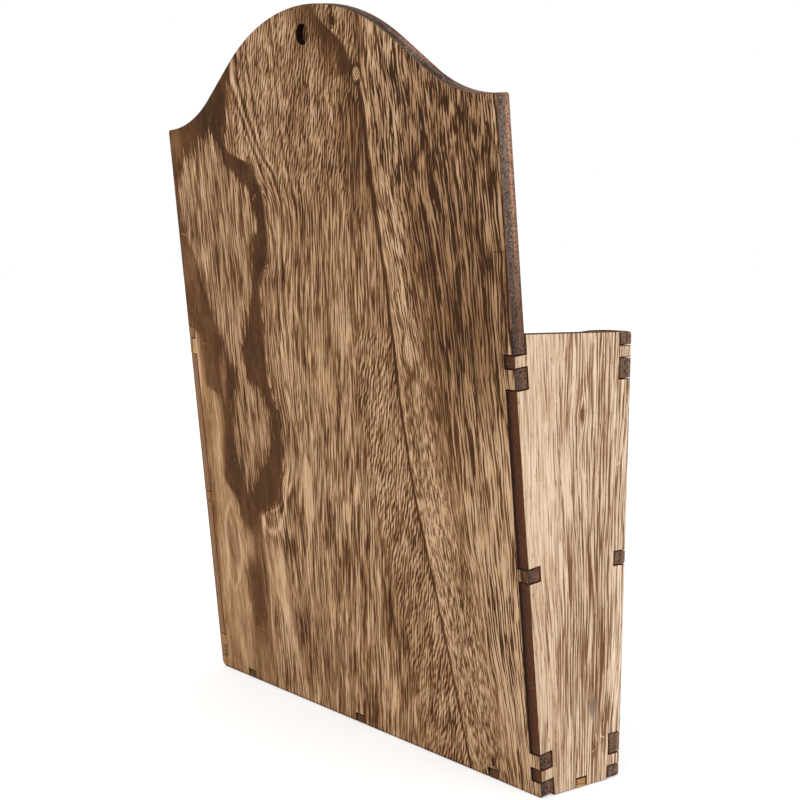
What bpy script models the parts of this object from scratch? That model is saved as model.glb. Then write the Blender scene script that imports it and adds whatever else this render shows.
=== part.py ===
"""Wall mail organizer: a pocket of laser-cut plywood panels held by glued finger joints.

Metres, +Z up. The organizer stands on its base at Z = 0, with the front panel upright
and facing -Y and the back panel leaning back towards +Y. The origin is the middle of
the base. Heights on the back panel run along its own slope, from its lower edge.
"""

import math

import bmesh
import bpy

# Overall sizes
WIDTH = 0.240                     # over the outer faces of the two side panels
PANEL_THICKNESS = 0.0065          # back and front panels
SIDE_THICKNESS = 0.0052           # side panels
FLOOR_THICKNESS = 0.0038          # bottom panel
BASE_DEPTH = 0.0445               # rear lower edge to the front face, at the base
BOX_HEIGHT = 0.1868               # front and side panels
BACK_LEAN = math.radians(6.8)     # back panel, away from upright
JOINT_GAP = 0.0003                # kerf between panels that meet

# Back panel
SHOULDER_HEIGHT = 0.2783
ARCH_RISE = 0.0458                # shoulders to the top of the arch
HOLE_DIAMETER = 0.0090            # for the nail that it hangs on
HOLE_DEPTH = 0.0040               # into the rear face, not through the panel
HOLE_DROP = 0.0122                # top of the arch to the hole's centre

# Front panel
SCOOP_DEPTH = 0.0450              # upper corners to the lowest point of the scoop
SCOOP_LEDGE = 0.0095              # level stretch between a corner's arc and the scoop

# Shape of the ogee that the arch and the scoop share
CROWN_SHARE = 0.613               # the middle arc's part of the two radii
FLANK_RATIO = 0.144               # straight flank, as a ratio to the two radii together
ARC_STEPS = 20                    # straight steps in each arc of an ogee
CORNER_RADIUS = 0.0015            # outer corners of the back and front panels
CORNER_STEPS = 5
HOLE_STEPS = 40

# Finger joints, measured along the joint
FINGER = 0.0052                   # short fingers of the side panels
MIDDLE_TOOTH = 0.0056             # tooth half way up, between the two long fingers
FRONT_END_TOOTH = 0.0055          # front panel's teeth at its lower and upper corners
FRONT_INNER_TOOTH = 0.0085        # front panel's teeth beside the long fingers
BACK_FOOT_TOOTH = 0.0065          # back panel's teeth, from the base up
BACK_LOWER_TOOTH = 0.0064
BACK_UPPER_TOOTH = 0.0084
BACK_TOP_TOOTH = 0.0084

# Tabs of the bottom panel
TAB_WIDTH = 0.0050
TAB_CLEARANCE = 0.0005            # each side of a tab in its slot
TAB_INSET = 0.0287                # middle of an outer tab to the end of the panel

# Worked out from the sizes above
HALF_WIDTH = WIDTH / 2
REAR = BASE_DEPTH / 2
FRONT = -BASE_DEPTH / 2
LEAN_SIN = math.sin(BACK_LEAN)
LEAN_COS = math.cos(BACK_LEAN)
PANEL_SEAT = PANEL_THICKNESS + JOINT_GAP      # room that the back or front panel takes
SIDE_SEAT = SIDE_THICKNESS + JOINT_GAP        # room that a side panel takes
FLOOR_SLOT = FLOOR_THICKNESS + JOINT_GAP      # height of a slot for a tab
HALF_TAB = TAB_WIDTH / 2
HALF_SLOT = HALF_TAB + TAB_CLEARANCE
TAB_CENTRES = (TAB_INSET - HALF_WIDTH, 0.0, HALF_WIDTH - TAB_INSET)


def clear_scene():
    for obj in list(bpy.data.objects):
        bpy.data.objects.remove(obj, do_unlink=True)


def linear(channel):
    """One sRGB channel, 0 to 255, as the linear value that a shader takes."""
    value = channel / 255
    return value / 12.92 if value <= 0.04045 else ((value + 0.055) / 1.055) ** 2.4


def wood(name, red, green, blue, roughness):
    material = bpy.data.materials.new(name)
    material.use_nodes = True
    shader = material.node_tree.nodes["Principled BSDF"]
    shader.inputs["Base Color"].default_value = (linear(red), linear(green), linear(blue), 1)
    shader.inputs["Roughness"].default_value = roughness
    shader.inputs["Metallic"].default_value = 0
    return material


def arc(centre_x, centre_y, radius, start, end, steps):
    """Points of an arc, from the start angle to the end angle."""
    angles = [start + (end - start) * step / steps for step in range(steps + 1)]
    return [(centre_x + radius * math.cos(a), centre_y + radius * math.sin(a)) for a in angles]


def mirrored(points):
    """The same points on the other side of the centre line, in the opposite order."""
    return [(-x, y) for x, y in reversed(points)]


def ogee(half_span, rise):
    """Half an ogee, from its foot at (half_span, 0) to its crown at (0, rise).

    A level cove arc at the foot and a level crown arc at the middle meet a straight flank
    without a kink. A negative rise gives the same curve upside down.
    """
    height = abs(rise)
    way = math.copysign(1, rise)
    ratio = height / half_span
    lead = ratio - FLANK_RATIO
    square = 2 + ratio * FLANK_RATIO
    turn = 2 * math.atan((lead + math.sqrt(lead ** 2 + square * ratio * FLANK_RATIO)) / square)
    radii = half_span / (math.sin(turn) + FLANK_RATIO * math.cos(turn))
    crown = CROWN_SHARE * radii
    cove = radii - crown
    down, up = -math.pi / 2, math.pi / 2
    points = arc(half_span, cove, cove, down, down - turn, ARC_STEPS)
    points += arc(0, height - crown, crown, up - turn, up, ARC_STEPS)
    return [(x, way * y) for x, y in points]


def finger_spans(length, foot_tooth, lower_tooth, upper_tooth, top_tooth):
    """Stretches where a side panel's fingers reach through the joined panel, from the base up."""
    teeth = foot_tooth + lower_tooth + MIDDLE_TOOTH + upper_tooth + top_tooth
    long_finger = (length - teeth - 2 * FINGER) / 2
    spans = []
    start = foot_tooth
    for finger, tooth in (
        (FINGER, lower_tooth),
        (long_finger, MIDDLE_TOOTH),
        (long_finger, upper_tooth),
        (FINGER, top_tooth),
    ):
        spans.append((start, start + finger))
        start += finger + tooth
    return spans


BACK_SPANS = finger_spans(
    BOX_HEIGHT / LEAN_COS, BACK_FOOT_TOOTH, BACK_LOWER_TOOTH, BACK_UPPER_TOOTH, BACK_TOP_TOOTH
)
FRONT_SPANS = finger_spans(
    BOX_HEIGHT, FRONT_END_TOOTH, FRONT_INNER_TOOTH, FRONT_INNER_TOOTH, FRONT_END_TOOTH
)


def panel_half(spans, shoulder, top_rise, ledge):
    """Right edge of the back or front panel, from the lower corner to the middle of the top.

    The ledge is a level stretch of the shoulder before the ogee starts.
    """
    quarter = math.pi / 2
    corner = HALF_WIDTH - CORNER_RADIUS
    points = arc(corner, CORNER_RADIUS, CORNER_RADIUS, -quarter, 0, CORNER_STEPS)
    for start, end in spans:
        low, high = start - JOINT_GAP / 2, end + JOINT_GAP / 2
        points += [(HALF_WIDTH, low), (HALF_WIDTH - SIDE_SEAT, low)]
        points += [(HALF_WIDTH - SIDE_SEAT, high), (HALF_WIDTH, high)]
    points += arc(corner, shoulder - CORNER_RADIUS, CORNER_RADIUS, 0, quarter, CORNER_STEPS)
    foot = corner - ledge
    if ledge:
        points.append((foot, shoulder))
    return points + [(x, shoulder + y) for x, y in ogee(foot, top_rise)[1:]]


def slotted_panel(spans, shoulder, top_rise, ledge, slot_height):
    """Whole outline of the back or front panel, with slots for the tabs in its lower edge."""
    right = panel_half(spans, shoulder, top_rise, ledge)
    outline = right + mirrored(right)[1:]
    for centre in TAB_CENTRES:
        start, end = centre - HALF_SLOT, centre + HALF_SLOT
        outline += [(start, 0), (start, slot_height), (end, slot_height), (end, 0)]
    return outline


def on_slope(height, depth):
    """Y and Z of a point at a height up the back panel and a depth forward of its rear face."""
    y = REAR + height * LEAN_SIN - depth * LEAN_COS
    z = height * LEAN_COS + depth * LEAN_SIN
    return y, z


def side_outline():
    """Side panel in Y and Z: the front edge is upright, the rear edge follows the back panel."""
    inset = JOINT_GAP / 2
    front_seat = FRONT + PANEL_SEAT
    points = [(REAR - PANEL_SEAT / LEAN_COS, 0)]
    points += [(HALF_SLOT, 0), (HALF_SLOT, FLOOR_SLOT), (-HALF_SLOT, FLOOR_SLOT), (-HALF_SLOT, 0)]
    points.append((front_seat, 0))
    for start, end in FRONT_SPANS:
        points += [(front_seat, start + inset), (FRONT, start + inset)]
        points += [(FRONT, end - inset), (front_seat, end - inset)]
    points.append((front_seat, BOX_HEIGHT))
    points.append(on_slope((BOX_HEIGHT - PANEL_SEAT * LEAN_SIN) / LEAN_COS, PANEL_SEAT))
    for start, end in reversed(BACK_SPANS):
        points += [on_slope(end - inset, PANEL_SEAT), on_slope(end - inset, 0)]
        points += [on_slope(start + inset, 0), on_slope(start + inset, PANEL_SEAT)]
    return points


def bottom_outline():
    """Bottom panel in X and Y, with tabs through the other four panels."""
    side = HALF_WIDTH - SIDE_SEAT
    rear_edge = REAR - PANEL_SEAT / LEAN_COS
    front_edge = FRONT + PANEL_SEAT
    points = []
    for centre in TAB_CENTRES:
        start, end = centre - HALF_TAB, centre + HALF_TAB
        points += [(start, front_edge), (start, FRONT), (end, FRONT), (end, front_edge)]
    points.append((side, front_edge))
    points += [(side, -HALF_TAB), (HALF_WIDTH, -HALF_TAB), (HALF_WIDTH, HALF_TAB), (side, HALF_TAB)]
    points.append((side, rear_edge))
    for centre in reversed(TAB_CENTRES):
        start, end = centre + HALF_TAB, centre - HALF_TAB
        points += [(start, rear_edge), (start, REAR), (end, REAR), (end, rear_edge)]
    points.append((-side, rear_edge))
    points += [(-side, HALF_TAB), (-HALF_WIDTH, HALF_TAB), (-HALF_WIDTH, -HALF_TAB), (-side, -HALF_TAB)]
    points.append((-side, front_edge))
    return points


def sheet(name, outline, thickness):
    """Flat sheet of a thickness, as a filled and extruded curve."""
    curve = bpy.data.curves.new(name, "CURVE")
    curve.dimensions = "2D"
    curve.fill_mode = "BOTH"
    curve.extrude = thickness / 2
    spline = curve.splines.new("POLY")
    spline.points.add(len(outline) - 1)
    for point, (x, y) in zip(spline.points, outline):
        point.co = (x, y, 0, 1)
    spline.use_cyclic_u = True
    return curve


def sheet_with_blind_hole(name, outline, thickness, hole, depth):
    """Flat sheet of a thickness, with a hole of a depth in its face at -Z."""
    bm = bmesh.new()

    def ring(points, z):
        verts = [bm.verts.new((x, y, z)) for x, y in points]
        return verts, [bm.edges.new(ends) for ends in zip(verts, verts[1:] + verts[:1])]

    rear, rear_edges = ring(outline, -thickness / 2)
    front, front_edges = ring(outline, thickness / 2)
    mouth, mouth_edges = ring(hole, -thickness / 2)
    end, end_edges = ring(hole, depth - thickness / 2)
    for edges in (rear_edges + mouth_edges, front_edges, end_edges):
        bmesh.ops.triangle_fill(bm, use_beauty=True, edges=edges)
    for low, high in ((rear, front), (mouth, end)):
        for i in range(len(low)):
            bm.faces.new((low[i - 1], low[i], high[i], high[i - 1]))
    bmesh.ops.recalc_face_normals(bm, faces=bm.faces)
    mesh = bpy.data.meshes.new(name)
    bm.to_mesh(mesh)
    bm.free()
    return mesh


def place(name, shape, material, parent, collection, location, rotation):
    panel = bpy.data.objects.new(name, shape)
    collection.objects.link(panel)
    if not shape.materials:
        shape.materials.append(material)
    panel.material_slots[0].link = "OBJECT"
    panel.material_slots[0].material = material
    panel.parent = parent
    panel.location = location
    panel.rotation_euler = rotation
    return panel


def build():
    clear_scene()
    collection = bpy.data.collections.new("wall_mail_organizer")
    bpy.context.scene.collection.children.link(collection)
    base = bpy.data.objects.new("organizer_base", None)
    collection.objects.link(base)

    upright = math.pi / 2
    half_panel = PANEL_THICKNESS / 2

    arch_top = SHOULDER_HEIGHT + ARCH_RISE
    hole = arc(0, arch_top - HOLE_DROP, HOLE_DIAMETER / 2, 0, 2 * math.pi, HOLE_STEPS)[:-1]
    back_edge = slotted_panel(BACK_SPANS, SHOULDER_HEIGHT, ARCH_RISE, 0, FLOOR_SLOT / LEAN_COS)
    back = sheet_with_blind_hole("back_sheet", back_edge, PANEL_THICKNESS, hole, HOLE_DEPTH)
    back_y, back_z = on_slope(0, half_panel)
    place(
        "back_panel", back, wood("burnt_veneer_back", 150, 112, 82, 0.55),
        base, collection, (0, back_y, back_z), (upright - BACK_LEAN, 0, 0),
    )

    front_edge = slotted_panel(FRONT_SPANS, BOX_HEIGHT, -SCOOP_DEPTH, SCOOP_LEDGE, FLOOR_SLOT)
    front = sheet("front_sheet", front_edge, PANEL_THICKNESS)
    place(
        "front_panel", front, wood("burnt_veneer_front", 158, 119, 87, 0.55),
        base, collection, (0, FRONT + half_panel, 0), (upright, 0, 0),
    )

    side = sheet("side_sheet", side_outline(), SIDE_THICKNESS)
    side_x = HALF_WIDTH - SIDE_THICKNESS / 2
    for name, x in (("left_side_panel", -side_x), ("right_side_panel", side_x)):
        place(
            name, side, wood("pale_veneer_" + name, 212, 178, 142, 0.55),
            base, collection, (x, 0, 0), (upright, 0, upright),
        )

    bottom = sheet("bottom_sheet", bottom_outline(), FLOOR_THICKNESS)
    place(
        "bottom_panel", bottom, wood("bare_plywood", 208, 164, 112, 0.6),
        base, collection, (0, 0, FLOOR_THICKNESS / 2), (0, 0, 0),
    )


build()
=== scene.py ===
import math

import bmesh
import bpy
from mathutils import Matrix, Vector


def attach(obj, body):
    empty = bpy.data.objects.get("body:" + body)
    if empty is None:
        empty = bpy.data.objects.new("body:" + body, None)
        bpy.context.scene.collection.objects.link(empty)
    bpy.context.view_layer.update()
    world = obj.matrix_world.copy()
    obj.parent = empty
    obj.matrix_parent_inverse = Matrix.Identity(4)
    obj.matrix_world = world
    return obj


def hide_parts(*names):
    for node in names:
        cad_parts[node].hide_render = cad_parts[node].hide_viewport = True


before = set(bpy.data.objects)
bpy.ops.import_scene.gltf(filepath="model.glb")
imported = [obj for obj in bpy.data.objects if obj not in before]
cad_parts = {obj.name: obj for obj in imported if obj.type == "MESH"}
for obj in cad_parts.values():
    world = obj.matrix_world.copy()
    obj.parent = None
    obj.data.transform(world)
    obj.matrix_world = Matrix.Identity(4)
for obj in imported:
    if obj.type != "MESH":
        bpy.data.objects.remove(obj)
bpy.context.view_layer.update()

# Sizes of the panels in metres, as in the part's source.
WIDTH = 0.240
PANEL = 0.0065
SIDE = 0.0052
FLOOR = 0.0038
DEPTH = 0.0445
LEAN = math.radians(6.8)
CORNER = 0.0015

# Details that only this scene has, in metres. The worn corner is WEAR times as round as the others.
EASE = 0.0003
RECESS = 0.0003
SWELL = 0.0002
WEAR = 2.2

# How the faces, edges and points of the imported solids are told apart. Lengths are in metres.
JOIN = 1e-6
FLAT = math.radians(0.4)
SHARP = math.radians(30)
CORNER_REACH = CORNER * 1.1
REAR_REACH = 0.0005
FINGER_WIDE = 0.012
FINGERS_FROM, FINGERS_TO = 0.001, 0.186
FACE_UP = 0.99
EDGE_UP = 0.12
OUTSIDE, INSIDE, CUT, ARRIS = range(4)

# Light: the world's strength, the lamps as (name, direction, strength), and the floor.
WORLD_LIGHT = 0.80
LAMPS = [("key", (0.80, -0.10, -0.60), 0.75), ("fill", (0.15, -0.85, -0.50), 0.75)]
LAMP_SPREAD = math.radians(60)
FLOOR_REACH = 12.0
FLOOR_DROP = 0.0002
FLOOR_GREY = (0.85, 0.85, 0.85, 1)
FLOOR_GLOW, FLOOR_GLOW_SHARE = 2.0, 0.25
WHITE = (1, 1, 1, 1)
SPECULAR = 0.05

# Camera fitted to the photograph: lens and sensor in millimetres, place in metres, directions.
LENS_LENGTH, SENSOR = 65.93, 36.0
CAMERA_PLACE = (-0.52604, 0.42593, 0.21474)
CAMERA_RIGHT = (-0.626381, -0.779369, 0.015193)
CAMERA_DOWN = (-0.084345, 0.048387, -0.995261)
CAMERA_AHEAD = (0.774940, -0.624694, -0.096045)
CLIP_START = 0.01


def linear(red, green, blue):
    """Scene colour of an 8-bit colour."""
    out = []
    for value in (red, green, blue):
        share = value / 255
        out.append(share / 12.92 if share <= 0.04045 else ((share + 0.055) / 1.055) ** 2.4)
    return (*out, 1.0)


# Colours by tone, from burnt at 0 to pale at 1.
BROWN = [
    (0.00, linear(60, 38, 23)),
    (0.22, linear(94, 62, 37)),
    (0.50, linear(138, 101, 68)),
    (0.78, linear(173, 136, 100)),
    (1.00, linear(206, 170, 135)),
]
AMBER = [
    (0.00, linear(66, 38, 16)),
    (0.50, linear(150, 100, 52)),
    (1.00, linear(208, 162, 108)),
]
PALE = [
    (0.00, linear(112, 78, 50)),
    (0.22, linear(156, 120, 90)),
    (0.50, linear(202, 170, 139)),
    (0.78, linear(227, 201, 173)),
    (1.00, linear(240, 218, 194)),
]
# Colour of soot, also used for painted shade in the joints and the nail hole.
SOOT_AND_SHADE = linear(30, 18, 13)
# Colour of painted glints on the cut edges.
GLINT = linear(206, 190, 178)
STAIN = linear(92, 82, 70)

# The figure of the burnt sheet, in millimetres. Lines are points (along the sheet, across it).
HALF_WIDTH = 120.0
OUTER_EDGE = [
    (324, -52), (300, -61), (281, -70), (272, -70.5), (266, -67.5), (262.5, -61), (260, -53.5), (256, -47.5),
    (251, -44.5), (245, -42), (238, -40.8), (228, -40.8), (218, -42), (209, -47), (204, -51.5), (193, -52),
    (178, -51.5), (163, -52), (150, -50), (137, -45.5), (126, -45.5), (117, -46.4), (109, -48.5), (101, -51),
    (97, -54), (94, -59), (92, -65), (89, -69.5), (80, -71), (60, -71), (38, -71.5), (20, -70), (0, -70),
]
INNER_EDGE = [
    (324, -96), (284, -86), (276, -81), (268, -76.5), (260, -71), (253, -63.5), (248, -56.5), (240, -51.5),
    (231, -49.5), (225, -51), (219, -55), (208, -57), (198, -58.5), (188, -65), (178, -69), (165, -71.5),
    (157, -70), (150, -60), (143, -54), (132, -52.5), (124, -57), (114, -65), (106, -70), (100, -76),
    (94, -86), (88, -88), (78, -84), (70, -82), (62, -87), (38, -87), (28, -84), (14, -80), (0, -78),
]
BRANCH_RIGHT = [
    (324, -60), (278, -66), (274, -78), (270, -92), (264, -106), (256, -113), (245, -116), (232, -114),
    (222, -108), (208, -102), (195, -98), (186, -95), (176, -89), (166, -83), (158, -78), (150, -82),
    (143, -85), (132, -86.5), (120, -86), (110, -83), (102, -78), (92, -72), (0, -72),
]
BRANCH_LEFT = [
    (324, -150), (186, -150), (180, -116), (172, -109.5), (160, -108.5), (152, -107), (148, -100),
    (144, -95.5), (130, -97.5), (115, -99.5), (104, -98.8), (99, -94), (92, -88), (86, -86), (0, -86),
]
STEM = [(0, 0.15), (14, 0.3), (28, 0.6), (44, 0.85), (60, 0.8), (72, 0.5), (84, 0.8), (100, 1), (324, 1)]
DARK_LINE = [
    (324, 36), (292, 36.8), (278, 38.3), (253, 39.6), (228, 42.5), (203, 45.2), (173, 47.2), (143, 49.6),
    (113, 53.8), (86, 59.8), (58, 65.8), (33, 70.8), (0, 77.5),
]
LINE_HALF = [(324, 1.5), (270, 1.4), (210, 1.1), (120, 0.8), (60, 0.55), (0, 0.4)]
FLOW = [
    (324, -52), (300, -61), (279, -69), (263, -60), (250, -47), (236, -43), (206, -47), (172, -51),
    (140, -47.5), (115, -47), (0, -66),
]
BESIDE_LINE = [(0, 1), (150, 1), (178, 0.75), (196, 0.3), (222, 0.2), (240, 0.7), (324, 1)]
WEDGE_LEFT = [(80, -65), (70, -63.5), (55, -61.5), (43, -58), (28, -53)]
WEDGE_RIGHT = [(80, -52), (66, -51), (52, -50), (38, -51.5), (28, -53)]
LENS = [(74, -32), (88, -28), (104, -26), (126, -26)]
LENS_HALF = [(74, 0.0), (86, 1.6), (104, 3.2), (117, 2.8), (126, 0.0)]
SPINDLE = [(46, -101), (58, -98.5), (67, -97.8), (80, -97.4), (92, -96.5)]
SPINDLE_HALF = [(44, 0.5), (50, 3.5), (58, 6.0), (67, 6.6), (80, 5.6), (87, 3.0), (93, 0.4)]
PATCH_EDGE = [(324, 9), (318, 12.5), (311.7, 20), (306.7, 27), (298, 32.5), (292, 35.5)]
PATCH_SHARE = [(291, 0.85), (300, 0.95), (311, 0.95), (318, 0.75), (324, 0.6)]

# The arc below the band, as points (across the sheet, along it).
ARC = [
    (-69, 90), (-66, 86), (-62.6, 82.3), (-58, 82.2), (-54.7, 84.3), (-51, 88.5), (-48.8, 92.2), (-46.5, 97),
    (-44.8, 101.4), (-41.6, 105.4), (-37, 110),
]

# Dark lines of the grain: points, half width, amount, and where each fades in along the sheet.
STRANDS = [
    ([(298, -61), (289, -57), (277, -51.3), (266, -45.6), (256, -41), (246, -38.2), (236, -38.5), (225, -36),
      (215, -35.5)], 0.8, 0.45, 205, 225),
    ([(296, -53.6), (285, -49.6), (274, -45), (264, -40), (256, -33.7), (248, -29), (239, -27), (229, -28),
      (219, -29.7), (205, -31), (190, -31.5), (160, -30)], 0.9, 0.5, 150, 215),
    ([(300, -44), (287, -42), (275.5, -40), (265, -37.7), (250, -33)], 0.6, 0.35, 252, 270),
    ([(270, -23), (258, -20), (249, -18.3), (240, -16), (225, -14)], 0.5, 0.3, 228, 245),
]

# Light and dark parts of a sheet: across, along, reach across, reach along, change of tone.
BROAD_PARTS = [
    (92, 245, 44, 120, -0.38),
    (108, 36, 40, 60, 0.05),
    (-46, 76, 9, 8, -0.50),
    (-43, 55, 4, 14, 0.26),
    (-40, 36, 9, 26, -0.22),
    (-35, 90, 6, 14, -0.26),
    (-64.5, 37, 2.2, 8, -0.36),
    (-98, 62, 26, 74, 0.17),
    (-116, 80, 6, 60, -0.14),
    (14, 272, 64, 62, -0.11),
    (44, 66, 24, 62, -0.09),
    (80, 140, 36, 80, -0.02),
    (30, 262, 13, 34, -0.20),
    (66, 92, 14, 62, 0.17),
]
BURNT_PARTS = [
    (-115, 160, 5, 22, 0.34),
    (-90.5, 158, 4, 15, 0.32),
    (-101, 128, 8, 24, 0.30),
    (-82, 71.5, 6, 9, 0.26),
    (-98.6, 66, 4.5, 15, -0.16),
    (-112, 206, 8, 26, 0.10),
    (-115, 272, 7, 13, 0.16),
    (22, 320, 2.0, 6, -0.45),
]
SIDE_PARTS = [
    (-30, 150, 16, 90, 0.17),
    (-22, 90, 10, 70, 0.10),
    (4, 110, 18, 64, -0.12),
    (-6, 60, 14, 60, -0.10),
    (9, 40, 8, 44, -0.22),
    (18.5, 60, 5, 46, 0.20),
]

# Knots of the burnt sheet: across, along, half width, half height, tone, strength of the rays in it.
KNOTS = [(36.0, 292.2, 2.4, 3.0, 0.68, 1.6), (22.3, 315.2, 1.9, 2.2, -0.05, 0.5)]

# Knots of the side panels: across, along, half width, half height, tone.
SHOWN_KNOT = (-5.3, 154.0, 1.4, 3.6, 0.02)
OTHER_KNOT = (8.0, 96.0, 1.3, 3.0, 0.25)

# Scratches: from and to as (across, along), change of tone.
SCRATCHES = [
    ((-50.5, 242.0), (-46.8, 245.4), 0.45),
    ((-118.0, 227.4), (-112.5, 225.9), 0.40),
    ((112.0, 219.3), (119.0, 219.4), -0.35),
    ((-81.7, 28.6), (-73.0, 28.9), 0.14),
    ((-108.0, 172.4), (-101.5, 171.8), 0.16),
    ((-95.5, 118.6), (-85.5, 118.2), 0.10),
]
SIDE_SCRATCHES = [
    ((15.4, 132.0), (17.8, 133.6), 0.5),
    ((7.6, 21.5), (9.0, 17.0), 0.4),
    ((10.2, 19.6), (13.4, 18.2), 0.4),
    ((5.2, 13.4), (8.0, 14.4), 0.35),
]

# The side panels: centre and closeness of the grain, where the pores grow weak, and the shown one's stain.
SIDE_FAN = (8.0, [(190, 0.80), (140, 0.90), (95, 1.0), (50, 1.13), (0, 1.28)])
SIDE_QUIET = (-8.0, -26.0)
SIDE_STAIN = (5.8, 32.5, 3.2, 6.5)


class Wire:
    """A value in a node tree that takes plain arithmetic."""

    def __init__(self, graph, socket):
        self.graph = graph
        self.socket = socket

    def __add__(self, other):
        return self.graph.math("ADD", self, other)

    __radd__ = __add__

    def __sub__(self, other):
        return self.graph.math("SUBTRACT", self, other)

    def __rsub__(self, other):
        return self.graph.math("SUBTRACT", other, self)

    def __mul__(self, other):
        return self.graph.math("MULTIPLY", self, other)

    __rmul__ = __mul__

    def __truediv__(self, other):
        return self.graph.math("DIVIDE", self, other)

    def __neg__(self):
        return self.graph.math("MULTIPLY", self, -1.0)

    def abs(self):
        return self.graph.math("ABSOLUTE", self)

    def low(self, other):
        return self.graph.math("MINIMUM", self, other)

    def high(self, other):
        return self.graph.math("MAXIMUM", self, other)

    def exp(self):
        return self.graph.math("EXPONENT", self)


class Graph:
    """The node tree of one material, around a Principled shader. The seed sets its noise apart."""

    def __init__(self, name, seed=0.0):
        self.seed = seed
        self.material = bpy.data.materials.new(name)
        self.material.use_nodes = True
        self.tree = self.material.node_tree
        self.tree.nodes.clear()
        self.shader = self.tree.nodes.new("ShaderNodeBsdfPrincipled")
        out = self.tree.nodes.new("ShaderNodeOutputMaterial")
        self.tree.links.new(self.shader.outputs[0], out.inputs[0])

    def put(self, socket, value):
        """A socket takes a wire or a plain value."""
        if isinstance(value, Wire):
            self.tree.links.new(value.socket, socket)
        else:
            socket.default_value = value

    def math(self, operation, *values):
        node = self.tree.nodes.new("ShaderNodeMath")
        node.operation = operation
        for socket, value in zip(node.inputs, values):
            self.put(socket, value)
        return Wire(self, node.outputs[0])

    def vector(self, x, y, z):
        node = self.tree.nodes.new("ShaderNodeCombineXYZ")
        for socket, value in zip(node.inputs, (x, y, z)):
            self.put(socket, value)
        return Wire(self, node.outputs[0])

    def place(self):
        """Object coordinates in millimetres: across the panel, along its grain, into it."""
        source = self.tree.nodes.new("ShaderNodeTexCoord")
        node = self.tree.nodes.new("ShaderNodeSeparateXYZ")
        self.tree.links.new(source.outputs["Object"], node.inputs[0])
        return [Wire(self, socket) * 1000.0 for socket in node.outputs]

    def noise(self, x, y, z, detail=2.0, roughness=0.5):
        """Noise around zero with one cell per unit of the given coordinates."""
        node = self.tree.nodes.new("ShaderNodeTexNoise")
        self.put(node.inputs["Vector"], self.vector(x, y, z + self.seed))
        node.inputs["Scale"].default_value = 1.0
        node.inputs["Detail"].default_value = detail
        node.inputs["Roughness"].default_value = roughness
        return Wire(self, node.outputs["Fac"]) - 0.5

    def stripes(self, x, y, number, order=1.0):
        """Broken stripes across x, about a unit long, with the given number of them to a unit."""
        node = self.tree.nodes.new("ShaderNodeTexGabor")
        self.put(node.inputs["Vector"], self.vector(x, y + self.seed, 0.0))
        node.inputs["Scale"].default_value = 1.0
        node.inputs["Frequency"].default_value = number
        node.inputs["Anisotropy"].default_value = order
        node.inputs["Orientation"].default_value = 0.0
        return Wire(self, node.outputs["Value"]) - 0.5

    def smooth(self, value, start, end):
        """From 0 at start to 1 at end."""
        node = self.tree.nodes.new("ShaderNodeMapRange")
        node.interpolation_type = "SMOOTHSTEP"
        self.put(node.inputs["Value"], value)
        self.put(node.inputs["From Min"], start)
        self.put(node.inputs["From Max"], end)
        return Wire(self, node.outputs["Result"])

    def bell(self, value, centre, reach):
        """1 at the centre, falling to 0 at the reach on both sides."""
        return self.smooth((value - centre).abs(), reach, 0.0)

    def curve(self, value, points):
        """A smooth curve through (value, result) points, level beyond them."""
        points = sorted(points)
        start, end = points[0][0], points[-1][0]
        low = min(y for _, y in points) - 1.0
        high = max(y for _, y in points) + 1.0
        node = self.tree.nodes.new("ShaderNodeFloatCurve")
        self.put(node.inputs["Value"], (value - start) / (end - start))
        line = node.mapping.curves[0]
        places = [((x - start) / (end - start), (y - low) / (high - low)) for x, y in points]
        line.points[0].location = places[0]
        line.points[1].location = places[-1]
        for place in places[1:-1]:
            line.points.new(*place)
        for point in line.points:
            point.handle_type = "AUTO_CLAMPED"
        node.mapping.extend = "HORIZONTAL"
        node.mapping.update()
        return Wire(self, node.outputs[0]) * (high - low) + low

    def scratch(self, u, s, start, end, waver):
        """1 along a thin line from start to end, which fades towards both."""
        (u0, s0), (u1, s1) = start, end
        length = math.hypot(u1 - u0, s1 - s0)
        run_u, run_s = (u1 - u0) / length, (s1 - s0) / length
        du, ds = u - (u0 + u1) / 2, s - (s0 + s1) / 2
        off = (du * run_s - ds * run_u + waver).abs()
        along = (du * run_u + ds * run_s).abs()
        return self.smooth(off, 0.45, 0.15) * self.smooth(along, length * 0.5, length * 0.3)

    def mix(self, share, first, second):
        """Colours mixed by a share."""
        node = self.tree.nodes.new("ShaderNodeMix")
        node.data_type = "RGBA"
        self.put(node.inputs["Factor"], share)
        sockets = {socket.identifier: socket for socket in node.inputs}
        self.put(sockets["A_Color"], first)
        self.put(sockets["B_Color"], second)
        results = {socket.identifier: socket for socket in node.outputs}
        return Wire(self, results["Result_Color"])

    def blend(self, share, first, second):
        """Plain numbers mixed by a share."""
        return first + (second - first) * share

    def ramp(self, value, stops):
        """The colour of a value between (position, colour) stops."""
        node = self.tree.nodes.new("ShaderNodeValToRGB")
        self.put(node.inputs[0], value)
        elements = node.color_ramp.elements
        elements[0].position, elements[0].color = stops[0]
        elements[1].position, elements[1].color = stops[-1]
        for position, colour in stops[1:-1]:
            elements.new(position).color = colour
        return Wire(self, node.outputs[0])

    def finish(self, colour, roughness, height=None, strength=0.3, depth=0.0003):
        """The material, with a bump of the given height, strength and depth in metres."""
        self.put(self.shader.inputs["Base Color"], colour)
        self.put(self.shader.inputs["Roughness"], roughness)
        self.shader.inputs["Specular IOR Level"].default_value = SPECULAR
        if height is not None:
            node = self.tree.nodes.new("ShaderNodeBump")
            node.inputs["Strength"].default_value = strength
            node.inputs["Distance"].default_value = depth
            self.put(node.inputs["Height"], height)
            self.tree.links.new(node.outputs[0], self.shader.inputs["Normal"])
        return self.material


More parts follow.
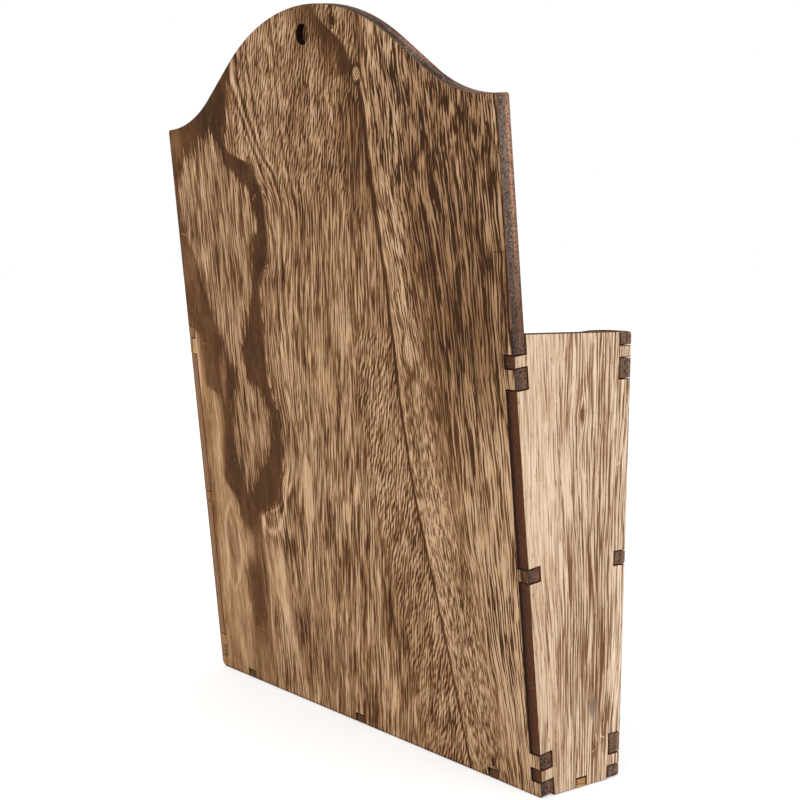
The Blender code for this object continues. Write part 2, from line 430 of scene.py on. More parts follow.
class BurntSheet(Graph):
    """The sheet in the photograph, or another part of such a sheet. way is -1 for a mirrored one.

    u runs across the sheet and s along it, in millimetres.
    """

    def __init__(self, name, seed=0.0, way=1.0, shift_u=0.0, shift_s=0.0):
        super().__init__(name, seed)
        x, s_panel, _ = self.place()
        u_panel = -x
        self.to_side, self.to_foot = HALF_WIDTH - u_panel.abs(), s_panel
        u = self.u = u_panel * way + shift_u
        s = self.s = s_panel + shift_s
        self.wave = self.noise(u / 34, s / 95, 3.1, 1.0) * 7.0
        self.ripple = self.noise(u / 6, s / 18, 9.7, 1.0) * 2.4
        self.ragged = self.noise(u / 1.1, s / 11, 5.3, 2.0) * 26.0

    def find_band(self):
        """The burnt figure at one side: two branches around pale islands, and the distance past it."""
        u, s, ragged = self.u, self.s, self.ragged
        sheltered = self.smooth(u, -86.0, -74.0) * self.bell(s, 256.0, 34.0)
        torn = s + self.noise(u / 1.3, s / 40, 2.9, 2.0) * (30.0 - sheltered * 20.0)
        low_end = self.smooth(s, 112.0, 96.0)
        frayed = s + self.noise(u / 2.2, s / 9, 8.3, 2.0) * low_end * 16.0
        sway = u + self.ripple * 0.45
        self.past_band = sway - self.curve(s, OUTER_EDGE)
        self.in_figure = self.smooth(self.past_band, 0.0, -6.0)
        soft = 1.5 + low_end * 2.5
        past_frayed = sway - self.curve(frayed, OUTER_EDGE)
        main = self.smooth(sway + ragged * 0.55 - self.curve(torn, INNER_EDGE), -1.2, 1.6)
        main = main * self.smooth(past_frayed, soft, -soft)
        branch = self.smooth(sway + ragged * 0.2 - self.curve(s, BRANCH_LEFT), -3.0, 2.4)
        branch = branch * self.smooth(sway + ragged * 0.45 - self.curve(torn, BRANCH_RIGHT), 2.4, -2.4)
        self.band = main.high(branch) * self.curve(s, STEM)

    def find_line(self):
        """The dark line that runs down from the knot, and the distance past it."""
        self.line = self.curve(self.s, DARK_LINE)
        past = self.past_line = self.u + self.ripple * 0.3 - self.line
        below_knot = self.smooth(self.s, 293.0, 288.0)
        half = self.curve(self.s, LINE_HALF)
        self.core = self.smooth(past.abs(), half + 0.6, half * 0.3) * below_knot
        self.shade = (past.low(0.0) / 5.0).exp() * self.smooth(past, 0.8, -0.4) * below_knot
        self.gleam = self.bell(past, 2.6, 3.2) * below_knot
        self.leftwards = self.smooth(past, 4.0, -2.0)

    def find_grain(self):
        """Distance across the grain, which follows the band and fans out past the dark line."""
        u, s, past_band, past_line = self.u, self.s, self.past_band, self.past_line
        near_band = (past_band.high(0.0) / -17.0).exp() * self.smooth(past_band, -2.0, 2.0)
        near_band = near_band * self.smooth(s, 262.0, 236.0) * self.smooth(s, 100.0, 124.0)
        near_line = self.smooth(past_line, -40.0, 0.0) * self.smooth(s, 190.0, 110.0) * 0.6
        lean = (s - 160.0) * self.smooth(u, -50.0, -5.0) * 0.10
        left = u + self.wave + self.ripple * 0.7 - lean
        left = left - (self.curve(s, FLOW) + 58.0) * near_band * 0.8 - (self.line - 56.0) * near_line
        fanned = past_line * 64.0 / (HALF_WIDTH - self.line) + self.wave + self.ripple * 0.7
        self.across = self.blend(self.smooth(past_line, -0.5, 0.5), left, fanned)

    def find_noise(self):
        """Noise along the grain, from broad to fine."""
        across, s = self.across, self.s
        self.uneven = self.noise(across / 3, s / 34, 7.9, 3.0, 0.6) * 26.0
        self.cloud = self.noise(across / 9, s / 48, 2.2, 2.0)
        self.blotch = self.noise(across / 2.4, s / 11, 6.3, 3.0, 0.55)
        self.streak = self.noise(across / 0.9, s / 15, 1.7, 2.0, 0.55)
        self.fine = self.noise(across / 0.5, s / 6, 4.1, 2.0, 0.5)
        hairs = self.smooth(self.noise(across / 0.42, s / 15, 3.6, 1.0), -0.08, -0.18)
        self.hairs = hairs * (1.0 + self.smooth(self.u, 55.0, 100.0) * self.smooth(s, 150.0, 230.0))

    def long_pores(self):
        """Pores along the grain: thin ones in the figure and past the line, dashes near the line."""
        across, s, ripple, past_line = self.across, self.s, self.ripple, self.past_line
        blotch, fine = self.blotch, self.fine
        plain = self.stripes(across / 3.6, s / 12, 2.0) * 0.75 + self.streak * 1.6
        plain = self.smooth(plain + blotch * 0.5 + fine * 0.25, -0.22, 0.22)
        thin = self.stripes(across / 3.6, s / 17, 2.2) * 0.6
        thin = thin + self.noise(across / 0.68, s / 22, 7.3, 2.0, 0.5) * 2.0
        thin = self.smooth(thin + blotch * 0.35 + fine * 0.3, -0.10, 0.10)
        dashes = self.stripes(across / 2.5, s / 8, 2.0) * 0.6
        dashes = dashes + self.noise(across / 0.55, s / 9, 3.3, 2.0, 0.5) * 1.5
        dashes = self.smooth(dashes + blotch * 0.5 + fine * 0.3, -0.12, 0.12)
        broken = self.smooth(s + ripple * 8.0, 236.0, 268.0)
        broken = broken.high(self.smooth(past_line + ripple * 4.0, 38.0, 14.0))
        broken = broken * self.smooth(past_line, -12.0, -4.0)
        straight = self.smooth(past_line + ripple * 2.0, -3.0, 8.0).high(self.in_figure)
        return self.blend(straight, plain, self.blend(broken, thin, dashes))

    def short_pores(self):
        """Short pores that lean across the grain in slanting rows."""
        leaning = self.u + self.ripple * 0.5 + self.wave * 0.3 - self.s * 0.25
        slanting = self.s + self.u * 1.6
        rows = self.stripes(leaning / 3.6, slanting / 4.5, 2.0, 0.95) * 0.95
        rows = rows + self.noise(leaning / 0.7, slanting / 6, 1.3, 1.0) * 0.5
        return self.smooth(rows + self.fine * 0.25 + self.blotch * 0.45, -0.15, 0.15)

    def small_pores(self):
        specks = self.noise((self.across - self.s * 0.08) / 0.8, self.s / 5, 5.9, 2.0, 0.55)
        return self.smooth(specks + self.fine * 0.25 + self.streak * 0.3, -0.11, 0.11)

    def pores(self):
        """Short pores beside the line and above the figure, small ones past the line, long ones elsewhere."""
        s, ripple, past_line, leftwards = self.s, self.ripple, self.past_line, self.leftwards
        beside_line = leftwards * self.smooth(past_line + ripple * 2.0, -40.0, -18.0)
        beside_line = beside_line * self.curve(s, BESIDE_LINE)
        along_line = self.smooth(past_line, -22.0, -8.0) * self.bell(s, 262.0, 34.0)
        above = self.smooth(s + ripple * 9.0 + self.wave * 4.0, 214.0, 268.0) * leftwards
        above = above * self.smooth(self.past_band, 2.0, 14.0)
        shortness = self.smooth(beside_line.high(above) - along_line, 0.25, 0.75)
        smallness = self.smooth(past_line, -2.0, 2.0) * self.smooth(past_line + ripple * 3.0, 34.0, 12.0)
        smallness = smallness * self.smooth(s, 190.0, 130.0)
        pores = self.blend(shortness, self.long_pores(), self.short_pores())
        return self.blend(smallness, pores, self.small_pores()) - 0.5

    def clear_parts(self):
        """Pale clear parts: a wedge below the band and a long lens beside it."""
        s, ragged = self.s, self.ragged
        jagged = self.u + self.ripple * 0.5 + ragged * 0.1
        wedge = self.smooth(jagged - self.curve(s, WEDGE_LEFT), -0.8, 1.2)
        wedge = wedge * self.smooth(jagged - self.curve(s, WEDGE_RIGHT), 0.8, -1.2)
        wedge = wedge * self.smooth(s + ragged * 0.6, 82.0, 68.0)
        lens = (jagged - self.curve(s, LENS)).abs() - self.curve(s, LENS_HALF)
        return wedge.high(self.smooth(lens, 0.8, -1.0))

    def grain_tone(self):
        """Tone of the pores, weak in calm, worn, clear and faint parts, and of the noise around them."""
        u, s, fine, past_line = self.u, self.s, self.fine, self.past_line
        clear = self.clear_parts()
        calm = self.smooth(u + self.wave, -52.0, -70.0) * self.smooth(s, 185.0, 150.0)
        calm = calm * (1.0 - self.smooth(u, -94.0, -86.0) * self.smooth(s, 90.0, 102.0))
        worn = self.bell(u, -5.0, 22.0) * self.bell(s, 168.0, 45.0)
        strong = self.smooth(s, 110.0, 70.0) * 0.26 + self.smooth(s, 200.0, 250.0) * 0.34 - 0.05
        strong = self.smooth(past_line, 4.0, 26.0) * strong
        faint = self.smooth(s, 100.0, 70.0) * self.smooth(past_line, -8.0, -20.0)
        faint = faint * self.smooth(u, -60.0, -45.0)
        weight = 0.78 - calm * 0.54 - worn * 0.24 - clear * 0.46 - self.in_figure * 0.16
        weight = weight + strong - faint * 0.14
        flames = self.noise(self.across / 2.4, s / 42, 8.8, 2.0, 0.5) + fine * 0.12 + self.ragged * 0.004
        low_left = self.smooth(s, 150.0, 70.0) * self.leftwards * self.smooth(u, -74.0, -58.0)
        flames = (self.smooth(flames, -0.06, 0.06) - 0.5) * (0.08 + low_left * 0.14)
        grainy = calm * (self.streak * 0.5 + fine * 0.3)
        tone = 0.55 + self.pores() * weight + fine * 0.2 + grainy + self.cloud * 0.62 + self.blotch * 0.34
        return tone - self.hairs * 0.24 + clear * 0.42 + flames

    def beside_band(self, tone):
        """Light and dark lines along the band, and dark lines of the grain that run down beside it."""
        s, ripple, past_band = self.s, self.ripple, self.past_band
        halo = (past_band.high(0.0) / -2.0).exp() * self.smooth(past_band, -0.5, 0.8)
        rim = self.bell(past_band + ripple * 0.4, 4.0, 2.6)
        second = self.bell(past_band + ripple * 0.6, 9.5, 2.2)
        low = self.smooth(s, 215.0, 120.0)
        high = self.smooth(s, 196.0, 236.0)
        tone = tone - halo * (0.22 - high * 0.14)
        tone = tone + rim * (low * 0.10 + high * 0.16 + self.bell(s, 98.0, 26.0) * 0.15) - second * low * 0.12
        for points, half, amount, start, end in STRANDS:
            beside = (self.u + ripple * 0.6 + self.ragged * 0.05 - self.curve(s, points)).abs()
            strand = self.smooth(beside, half + 0.7, half * 0.4) * self.smooth(s, start, end)
            ridge = self.bell(beside, half + 1.9, 1.4) * self.smooth(s, start, end)
            tone = tone + (ridge * 0.4 - strand * (0.8 + self.blotch * 2.5)) * amount
        return tone

    def below_band(self, tone):
        """A spindle of light lines, a light arc with a dark one above it, and a light strip."""
        u, s, ripple = self.u, self.s, self.ripple
        spindle = (u + ripple * 0.9 - self.curve(s, SPINDLE)).abs() - self.curve(s, SPINDLE_HALF)
        spindle = self.bell(spindle, 0.0, 2.2) * self.smooth(s, 40.0, 52.0) * self.smooth(s, 97.0, 91.0)
        tone = tone + spindle * (0.22 + self.streak * 0.5)
        arc = s + ripple - self.curve(u, ARC)
        along = self.smooth(u, -70.0, -67.0) * self.smooth(u, -36.0, -42.0)
        tone = tone + (self.bell(arc, 0.0, 2.6) * 0.42 - self.bell(arc, 4.4, 3.4) * 0.14) * along
        strip = self.bell(u + ripple * 2.2, -67.0, 1.8)
        strip = strip * self.smooth(s, 36.0, 60.0) * self.smooth(s, 94.0, 86.0)
        return tone + strip * (0.22 + self.blotch * 0.8)

    def parts(self, tone, places):
        """Light and dark parts of the sheet."""
        for at_u, at_s, wide, tall, amount in places:
            du = (self.u + self.ripple * 1.5 - at_u) / wide
            ds = (self.s + self.uneven - at_s) / tall
            tone = tone + self.smooth(du * du + ds * ds, 1.0, 0.0) * amount
        return tone

    def burnt_parts(self, tone):
        """The band, and the patch from the top edge to the knot, which fades out on one side."""
        u, s, ragged = self.u, self.s, self.ragged
        mottled = self.noise(u / 8, s / 22, 4.4, 3.0, 0.6)
        burnt = 0.115 + self.fine * 0.4 + self.streak * 0.24 + mottled * 0.45
        burnt = burnt - self.smooth(s, 200.0, 250.0) * 0.04 + self.noise(u / 0.9, s / 1.1, 6.2, 1.0) * 0.20
        tone = self.blend(self.band, tone, burnt + self.smooth(u, -84.0, -104.0) * 0.10)
        tone = self.parts(tone, BURNT_PARTS)
        beside = u + self.ripple * 0.5 - self.curve(s, PATCH_EDGE)
        patch = self.smooth(beside + ragged * 0.06, 1.4, -1.2)
        patch = patch * self.smooth(beside + ragged * 0.9, -24.0, -2.0)
        patch = patch * self.smooth(s, 291.0, 294.0) * self.curve(s, PATCH_SHARE)
        return self.blend(patch, tone, burnt)

    def knot(self, tone, at_u, at_s, wide, tall, light, rayed):
        """An eye with a dark ring around it."""
        u, s = self.u, self.s
        du = (u - at_u) / wide
        ds = (s - at_s) / tall
        radius = self.math("SQRT", du * du + ds * ds)
        eye = self.smooth(radius + self.noise(u / 1.1, s / 1.1, 1.0) * 0.9, 1.15, 0.75)
        ring = self.bell(radius, 1.3, 0.55)
        rays = self.stripes((u + s * 0.6) / 2.6, s / 3.0, 2.0) * rayed
        light = light + rays + self.noise(u / 0.7, s / 0.9, 2.0) * rayed * 0.5
        return self.blend(eye, tone - ring * 0.4, light)

    def make(self):
        """The finished material."""
        self.find_band()
        self.find_line()
        self.find_grain()
        self.find_noise()
        tone = self.beside_band(self.grain_tone())
        tone = self.below_band(self.parts(tone, BROAD_PARTS))
        tone = tone + self.gleam * 0.12 - self.shade * 0.16 - self.core * (0.5 + self.fine * 0.8)
        tone = tone - self.smooth(self.to_side, 1.6, 0.2) * 0.22 - self.smooth(self.to_foot, 1.6, 0.2) * 0.25
        tone = self.burnt_parts(tone)
        for place in KNOTS:
            tone = self.knot(tone, *place)
        for start, end, amount in SCRATCHES:
            tone = tone + self.scratch(self.u, self.s, start, end, self.fine * 0.5) * amount
        colour = self.ramp(tone, BROWN)
        amber = self.smooth(self.u + self.uneven * 0.2, -104.0, -120.0)
        amber = amber * self.smooth(self.s, 190.0, 165.0) * 0.4
        colour = self.mix(amber, colour, self.ramp(tone, AMBER))
        rough = self.blend(self.smooth(tone, 0.1, 0.9), 0.68, 0.56)
        return self.finish(colour, rough, self.streak + self.fine * 0.6 - self.hairs * 0.3, 0.35, 0.00025)


def plain_veneer(name, seed, fan, parts=(), knots=(), tone_at=0.51, contrast=0.66, quiet=None, stain=None,
                 scratches=()):
    """A pale sheet with long pores. fan is (centre, closeness of the grain at points along the sheet).

    quiet is where the pores grow weak, from and to across the sheet. stain is the place and size of a
    grey stain.
    """
    g = Graph(name, seed)
    x, s, _ = g.place()
    u = -x
    wave = g.noise(u / 30, s / 85, 1.1, 1.0) * 6.0
    ripple = g.noise(u / 5, s / 34, 4.7, 1.0) * 1.3
    uneven = g.noise(u / 5, s / 26, 7.9, 3.0, 0.6) * 10.0

    # The grain, which goes round the knots.
    centre, closeness = fan
    across = (u - centre) * g.curve(s, closeness) + wave + ripple
    for at_u, at_s, wide, tall, _ in knots:
        du = u - at_u
        ds = (s - at_s) / tall
        push = (ds * ds * -0.35).exp() * (du.abs() / -(wide * 2.2)).exp()
        across = across + g.math("SIGN", du) * push * wide * -0.9

    cloud = g.noise(across / 6, s / 60, 2.2, 2.0)
    fine = g.noise(across / 0.36, s / 9, 6.6, 2.0)
    blotch = g.noise(across / 1.8, s / 24, 6.3, 3.0, 0.55)
    streak = g.noise(across / 0.70, s / 36.0, 1.9, 2.0, 0.5)
    pores = g.stripes(across / 3.1, s / 19.5, 2.0) * 0.6 + streak * 2.0
    pores = g.smooth(pores + blotch * 0.15 + fine * 0.45, -0.10, 0.10) - 0.5
    hairs = g.smooth(g.noise(across / 0.50, s / 20, 3.6, 1.0), -0.07, -0.14)
    flecks = g.smooth(g.noise((across + s * 0.06) / 0.55, s / 4.5, 8.4, 2.0), -0.13, -0.20)
    if quiet:
        weak = g.smooth(u + uneven * 0.5, *quiet)
        contrast = (1.0 - weak * 0.6) * contrast
    tone = pores * contrast + tone_at + fine * 0.34 + cloud * 0.18 + blotch * 0.10
    tone = tone - hairs * 0.40 - flecks * 0.34

    for at_u, at_s, wide, tall, amount in parts:
        du = (u + uneven * 0.4 - at_u) / wide
        ds = (s + uneven - at_s) / tall
        tone = tone + g.smooth(du * du + ds * ds, 1.0, 0.0) * amount
    for at_u, at_s, wide, tall, light in knots:
        du = (u - at_u) / wide
        ds = (s - at_s) / tall
        radius = g.math("SQRT", du * du + ds * ds) + g.noise(u / 1.2, s / 1.8, 1.0) * 0.8
        tone = tone + g.bell(radius, 1.7, 0.7) * 0.12
        tone = g.blend(g.smooth(radius, 1.1, 0.6), tone, light + fine * 0.6)
    for start, end, amount in scratches:
        tone = tone + g.scratch(u, s, start, end, fine * 0.5) * amount

    colour = g.ramp(tone, PALE)
    if stain:
        at_u, at_s, wide, tall = stain
        du = (u + uneven * 0.2 - at_u) / wide
        ds = (s + uneven * 0.5 - at_s) / tall
        share = g.smooth(du * du + ds * ds, 1.0, 0.0) * (0.5 + blotch * 1.2)
        colour = g.mix(share, colour, STAIN)
    rough = g.blend(g.smooth(tone, 0.1, 0.9), 0.66, 0.54)
    return g.finish(colour, rough, streak + fine * 0.6 - hairs * 0.3, 0.3, 0.0002)


def cut_edge(name, thick, plies, open_plies=None, open_part=None, charred=None, rough=1.0):
    """Laser-cut edge: plies gives colours from the outer face (0) to the inner one (1).

    open_plies are those away from the joints, where open_part says how much they show along the panel.
    charred is a colour, for edges that face across the grain. rough is how gritty the edge is, and how strong
    its painted glints are.
    """
    g = Graph(name)
    x, s, n = g.place()
    run = x + s
    grit = g.noise(x / 0.9, s / 0.9, n / 0.7, 2.0, 0.6)
    specks = g.noise(x / 0.8, s / 0.8, n / 0.7 + 7.7, 1.0)
    smear = g.noise(run / 11, x / 25, n / 1.4, 2.0)
    patches = g.noise(run / 3.5, 0.7, n / 1.1, 2.0, 0.6)
    lines = g.noise(run / 9, 0.3, n / 0.22, 2.0)
    depth = n / thick + smear * 0.22 + patches * 0.2 + grit * 0.12
    colour = g.ramp(depth, plies)
    # Painted glints: light specks mixed into the edge's colour.
    glints = g.smooth(specks + patches * 0.3, 0.10, 0.22) * 0.35 * rough
    if charred:
        colour = g.mix(g.smooth(s.abs(), 117.0, 116.0), colour, charred)
    if open_plies:
        share = g.curve(s, open_part) + smear * 0.8 + grit * 0.5
        colour = g.mix(share, colour, g.ramp(depth, open_plies))

        # Painted shade in the joints and in the nail hole, and soot along the arch.
        joint_shade = g.smooth(s, 192.0, 188.0) * g.smooth(x.abs(), 118.0, 116.0) * 0.7
        hole_shade = g.smooth(s, 298.0, 304.0) * g.smooth(x.abs(), 9.0, 6.0) * g.smooth(s, 319.0, 317.0) * 0.96
        painted_shade = joint_shade.high(hole_shade)
        arch = g.smooth(s, 279.0, 286.0) * (0.46 - smear * 0.8 + g.smooth(depth, 0.55, 0.30) * 0.22)
        arch = arch * (1.0 - g.bell(s, 298.0, 10.0) * 0.5)
        colour = g.mix(painted_shade.high(arch), colour, SOOT_AND_SHADE)
        # The painted glints fade out in the painted shade.
        glints = glints * (1.0 - painted_shade) * (0.6 + share)
    shade = 0.04 + lines + patches * 0.8 + g.smooth(grit, -0.03, 0.10) * 0.6 * rough
    shade = shade + (1.0 - rough) * 0.14
    colour = g.mix(glints, g.mix(shade, colour, SOOT_AND_SHADE), GLINT)
    return g.finish(colour, 0.62, grit + lines * 0.5, 0.5, 0.0002)


def arris(name, worn, burnt, joint_shade_top=None):
    """Line between a face and a cut edge, partly burnt, and darkened with painted shade along the joints,
    which reach up to the given height.
    """
    g = Graph(name)
    x, s, n = g.place()
    grit = g.noise(x / 3, s / 3, n / 3, 3.0, 0.6)
    share = 0.5 + grit * 2.0
    # Painted shade: the line is fully dark along the joints, below the given height.
    if joint_shade_top:
        share = share.high(g.smooth(s, joint_shade_top + 3.0, joint_shade_top - 1.0))
    return g.finish(g.mix(share, worn, burnt), 0.62)


def swell_fingers(bm, swell):
    """Move the walls of a side panel's fingers outwards, which makes the fingers fuller in their slots."""
    bm.normal_update()
    shifts = {}
    for face in bm.faces:
        across = [vert.co.x for vert in face.verts]
        is_wall = abs(face.normal.y) > FACE_UP and max(across) - min(across) < FINGER_WIDE
        if is_wall and FINGERS_FROM < face.calc_center_median().y < FINGERS_TO:
            for vert in face.verts:
                shifts[vert] = math.copysign(swell, face.normal.y)
    for vert, shift in shifts.items():
        vert.co.y += shift


def panel_piece(node, place, materials, short=0.0, worn_corner=None, swell=0.0):
    """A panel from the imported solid, with its edges eased and its faces sorted by material.

    A short panel stops that much below the outside of the back panel. The worn corner is a rounder one.
    A swollen panel has fuller fingers.
    """
    mesh = bpy.data.meshes.new(node + "_detailed")
    bm = bmesh.new()
    bm.from_mesh(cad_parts[node].data)
    bm.transform(place.inverted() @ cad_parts[node].matrix_world)
    bmesh.ops.remove_doubles(bm, verts=bm.verts, dist=JOIN)
    bmesh.ops.dissolve_limit(bm, angle_limit=FLAT, verts=bm.verts, edges=bm.edges)
    if worn_corner:
        corner = Vector(worn_corner)
        for vert in bm.verts:
            offset = vert.co.xy - corner
            if offset.length < CORNER_REACH:
                vert.co.xy = corner + offset * WEAR
    if swell:
        swell_fingers(bm, swell)
    sharp = [e for e in bm.edges if len(e.link_faces) == 2 and e.calc_face_angle() > SHARP]
    bmesh.ops.bevel(bm, geom=sharp, offset=EASE, segments=2, profile=0.5, affect="EDGES", clamp_overlap=True)
    if short:
        for vert in bm.verts:
            rear = DEPTH / 2 + vert.co.y * math.tan(LEAN)
            if vert.co.x > rear - REAR_REACH:
                vert.co.x -= short
    bm.normal_update()
    for face in bm.faces:
        face.smooth = True
        up = face.normal.z
        if abs(up) > FACE_UP:
            face.material_index = OUTSIDE if up < 0 else INSIDE
        elif abs(up) < EDGE_UP:
            face.material_index = CUT
        else:
            face.material_index = ARRIS
    bm.to_mesh(mesh)
    bm.free()
    piece = bpy.data.objects.new(node + "_detailed", mesh)
    bpy.context.scene.collection.objects.link(piece)
    piece.matrix_world = place
    for material in materials:
        mesh.materials.append(material)
    normals = piece.modifiers.new("even_normals", "WEIGHTED_NORMAL")
    normals.keep_sharp = True
    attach(piece, "root")
    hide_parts(node)
    return piece


def frame_of(origin, across, along):
    """Panel frame: across, along the grain, and into the panel from its outer face."""
    across = Vector(across)
    along = Vector(along)
    into = across.cross(along)
    turn = Matrix((across, along, into)).transposed().to_4x4()
    return Matrix.Translation(Vector(origin)) @ turn


back_mat = BurntSheet("back_veneer").make()
left_mat = plain_veneer("left_side_veneer", 0.0, SIDE_FAN, SIDE_PARTS, [SHOWN_KNOT], quiet=SIDE_QUIET,
                        stain=SIDE_STAIN, scratches=SIDE_SCRATCHES)
right_mat = plain_veneer("right_side_veneer", 31.0, SIDE_FAN, SIDE_PARTS[:2], [OTHER_KNOT], quiet=SIDE_QUIET)
front_mat = BurntSheet("front_veneer", seed=52.0, way=-1.0, shift_u=62.0, shift_s=60.0).make()
back_inside_mat = BurntSheet("back_inside_veneer", seed=23.0, shift_u=110.0, shift_s=-60.0).make()
inside_mat = plain_veneer("inside_veneer", 77.0, (0.0, [(0, 1.0), (330, 1.0)]), tone_at=0.44, contrast=0.45)
back_edge = cut_edge("back_cut_edge", PANEL * 1000, [
    (0.00, linear(92, 70, 58)), (0.20, linear(80, 65, 57)), (0.42, linear(98, 74, 62)),
    (0.60, linear(120, 86, 68)), (0.80, linear(112, 80, 63)), (1.00, linear(100, 70, 54)),
], [
    (0.00, linear(116, 96, 86)), (0.22, linear(112, 100, 94)), (0.42, linear(130, 110, 100)),
    (0.52, linear(150, 112, 90)), (0.72, linear(206, 154, 122)), (0.86, linear(164, 124, 102)),
    (1.00, linear(152, 122, 106)),
], [
    (195, 0.0), (212, 0.4), (240, 0.8), (268, 1.0), (284, 0.25), (290, 0.3), (298, 0.8), (306, 0.25),
    (324, 0.1),
])
front_edge = cut_edge("front_cut_edge", PANEL * 1000, [
    (0.00, linear(150, 118, 98)), (0.22, linear(136, 106, 88)), (0.46, linear(98, 72, 58)),
    (0.62, linear(126, 98, 82)), (1.00, linear(126, 94, 74)),
])
left_edge = cut_edge("left_side_cut_edge", SIDE * 1000, [
    (0.00, linear(94, 58, 36)), (0.3, linear(90, 54, 32)), (0.6, linear(82, 49, 31)),
    (0.82, linear(62, 38, 26)), (1.00, linear(24, 13, 8)),
], rough=0.2)
right_edge = cut_edge("right_side_cut_edge", SIDE * 1000, [
    (0.00, linear(116, 82, 60)), (0.3, linear(154, 115, 82)), (0.6, linear(150, 110, 78)),
    (1.00, linear(136, 99, 70)),
], rough=0.2)
floor_edge = cut_edge("bottom_cut_edge", FLOOR * 1000, [
    (0.00, linear(206, 156, 102)), (0.28, linear(208, 158, 102)), (0.36, linear(110, 62, 32)),
    (0.44, linear(204, 154, 100)), (0.60, linear(212, 164, 110)), (0.68, linear(112, 66, 34)),
    (0.76, linear(206, 158, 104)), (1.00, linear(190, 142, 92)),
], charred=linear(96, 66, 42), rough=0.4)
dark_arris = arris("dark_arris", linear(140, 100, 72), linear(58, 40, 32), 190.0)
pale_arris = arris("pale_arris", linear(96, 62, 42), linear(48, 30, 22))
right_arris = arris("right_side_arris", linear(118, 84, 60), linear(76, 52, 38))

BACK_FRAME = frame_of((0, DEPTH / 2, 0), (1, 0, 0), (0, math.sin(LEAN), math.cos(LEAN)))
FRONT_FRAME = frame_of((0, -DEPTH / 2, 0), (-1, 0, 0), (0, 0, 1))
LEFT_FRAME = frame_of((-WIDTH / 2, 0, 0), (0, 1, 0), (0, 0, 1))
RIGHT_FRAME = frame_of((WIDTH / 2, 0, 0), (0, -1, 0), (0, 0, 1))
BOTTOM_FRAME = frame_of((0, 0, 0), (0, -1, 0), (1, 0, 0))

# Materials of the outside, the inside, the cut edges and the lines between them.
back = panel_piece("back_panel", BACK_FRAME, [back_mat, back_inside_mat, back_edge, dark_arris],
                   worn_corner=(WIDTH / 2, 0.0))
front = panel_piece("front_panel", FRONT_FRAME, [front_mat, inside_mat, front_edge, dark_arris])
left = panel_piece("left_side_panel", LEFT_FRAME, [left_mat, inside_mat, left_edge, pale_arris], short=RECESS)
right = panel_piece("right_side_panel", RIGHT_FRAME, [right_mat, inside_mat, right_edge, right_arris],
                    swell=SWELL)
bottom = panel_piece("bottom_panel", BOTTOM_FRAME, [inside_mat, inside_mat, floor_edge, pale_arris])


def direct_rays(tree):
    """1 for rays that come from the camera, straight or by way of a mirror or glass."""
    path = tree.nodes.new("ShaderNodeLightPath")
    direct = path.outputs["Is Camera Ray"]
    for name in ("Is Glossy Ray", "Is Transmission Ray"):
        node = tree.nodes.new("ShaderNodeMath")
        node.operation = "MAXIMUM"
        tree.links.new(direct, node.inputs[0])
        tree.links.new(path.outputs[name], node.inputs[1])
        direct = node.outputs[0]
    return direct


def surroundings():
    """A white world that lights the object more softly than the camera sees it."""
    world = bpy.data.worlds.new("studio")
    bpy.context.scene.world = world
    world.use_nodes = True
    tree = world.node_tree
    tree.nodes.clear()
    seen = tree.nodes.new("ShaderNodeBackground")
    seen.inputs["Color"].default_value = WHITE
    seen.inputs["Strength"].default_value = 1.0
    lit = tree.nodes.new("ShaderNodeBackground")
    lit.inputs["Color"].default_value = WHITE
    lit.inputs["Strength"].default_value = WORLD_LIGHT
    mixed = tree.nodes.new("ShaderNodeMixShader")
    out = tree.nodes.new("ShaderNodeOutputWorld")
    tree.links.new(direct_rays(tree), mixed.inputs[0])
    tree.links.new(lit.outputs[0], mixed.inputs[1])
    tree.links.new(seen.outputs[0], mixed.inputs[2])
    tree.links.new(mixed.outputs[0], out.inputs[0])


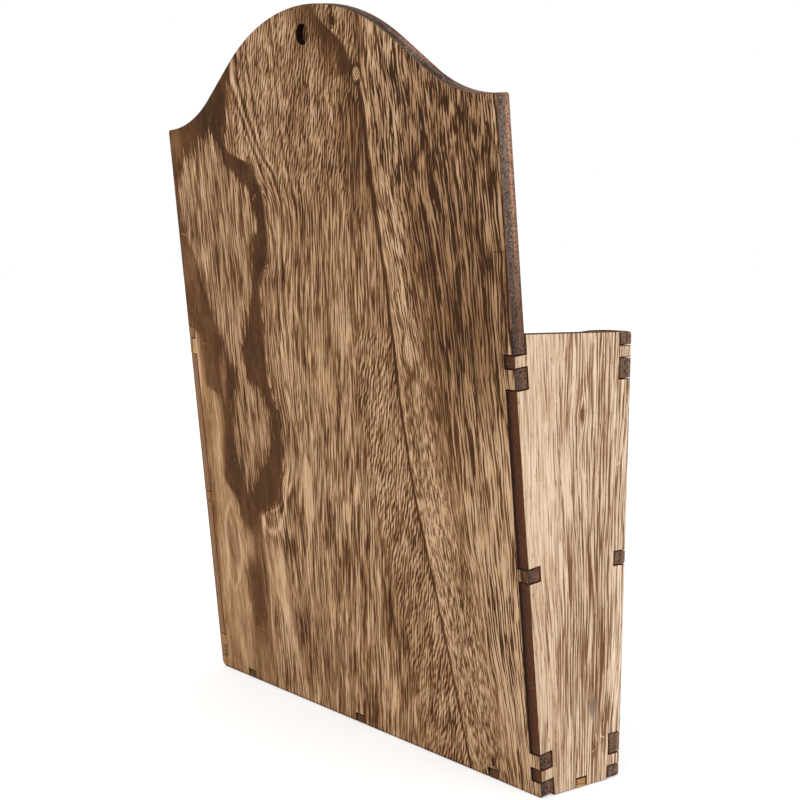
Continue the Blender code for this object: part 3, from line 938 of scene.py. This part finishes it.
def white_floor():
    """A floor that the camera sees as white, with the object's shadow on it."""
    mesh = bpy.data.meshes.new("floor")
    reach = FLOOR_REACH
    corners = [(-reach, -reach, 0), (reach, -reach, 0), (reach, reach, 0), (-reach, reach, 0)]
    mesh.from_pydata(corners, [], [(0, 1, 2, 3)])
    floor = bpy.data.objects.new("floor", mesh)
    floor.location.z = -FLOOR_DROP
    bpy.context.scene.collection.objects.link(floor)
    material = bpy.data.materials.new("floor_white")
    material.use_nodes = True
    tree = material.node_tree
    tree.nodes.clear()
    plain = tree.nodes.new("ShaderNodeBsdfDiffuse")
    plain.inputs["Color"].default_value = FLOOR_GREY
    glow = tree.nodes.new("ShaderNodeEmission")
    glow.inputs["Strength"].default_value = FLOOR_GLOW
    share = tree.nodes.new("ShaderNodeMath")
    share.operation = "MULTIPLY"
    share.inputs[1].default_value = FLOOR_GLOW_SHARE
    mixed = tree.nodes.new("ShaderNodeMixShader")
    out = tree.nodes.new("ShaderNodeOutputMaterial")
    tree.links.new(direct_rays(tree), share.inputs[0])
    tree.links.new(share.outputs[0], mixed.inputs[0])
    tree.links.new(plain.outputs[0], mixed.inputs[1])
    tree.links.new(glow.outputs[0], mixed.inputs[2])
    tree.links.new(mixed.outputs[0], out.inputs[0])
    mesh.materials.append(material)


def lamps():
    """Soft lamps from the sides of the camera."""
    for name, towards, strength in LAMPS:
        light = bpy.data.lights.new(name, "SUN")
        light.energy = strength
        light.angle = LAMP_SPREAD
        lamp = bpy.data.objects.new(name, light)
        lamp.rotation_euler = Vector(towards).to_track_quat("-Z", "Y").to_euler()
        bpy.context.scene.collection.objects.link(lamp)


def photo_camera():
    """The photograph's camera."""
    data = bpy.data.cameras.new("photo_camera")
    data.sensor_width = SENSOR
    data.lens = LENS_LENGTH
    data.clip_start = CLIP_START
    camera = bpy.data.objects.new("photo_camera", data)
    axes = (Vector(CAMERA_RIGHT), -Vector(CAMERA_DOWN), -Vector(CAMERA_AHEAD))
    camera.matrix_world = Matrix.Translation(CAMERA_PLACE) @ Matrix(axes).transposed().to_4x4()
    bpy.context.scene.collection.objects.link(camera)
    bpy.context.scene.camera = camera


bpy.context.scene.view_settings.view_transform = "Standard"
surroundings()
white_floor()
lamps()
photo_camera()
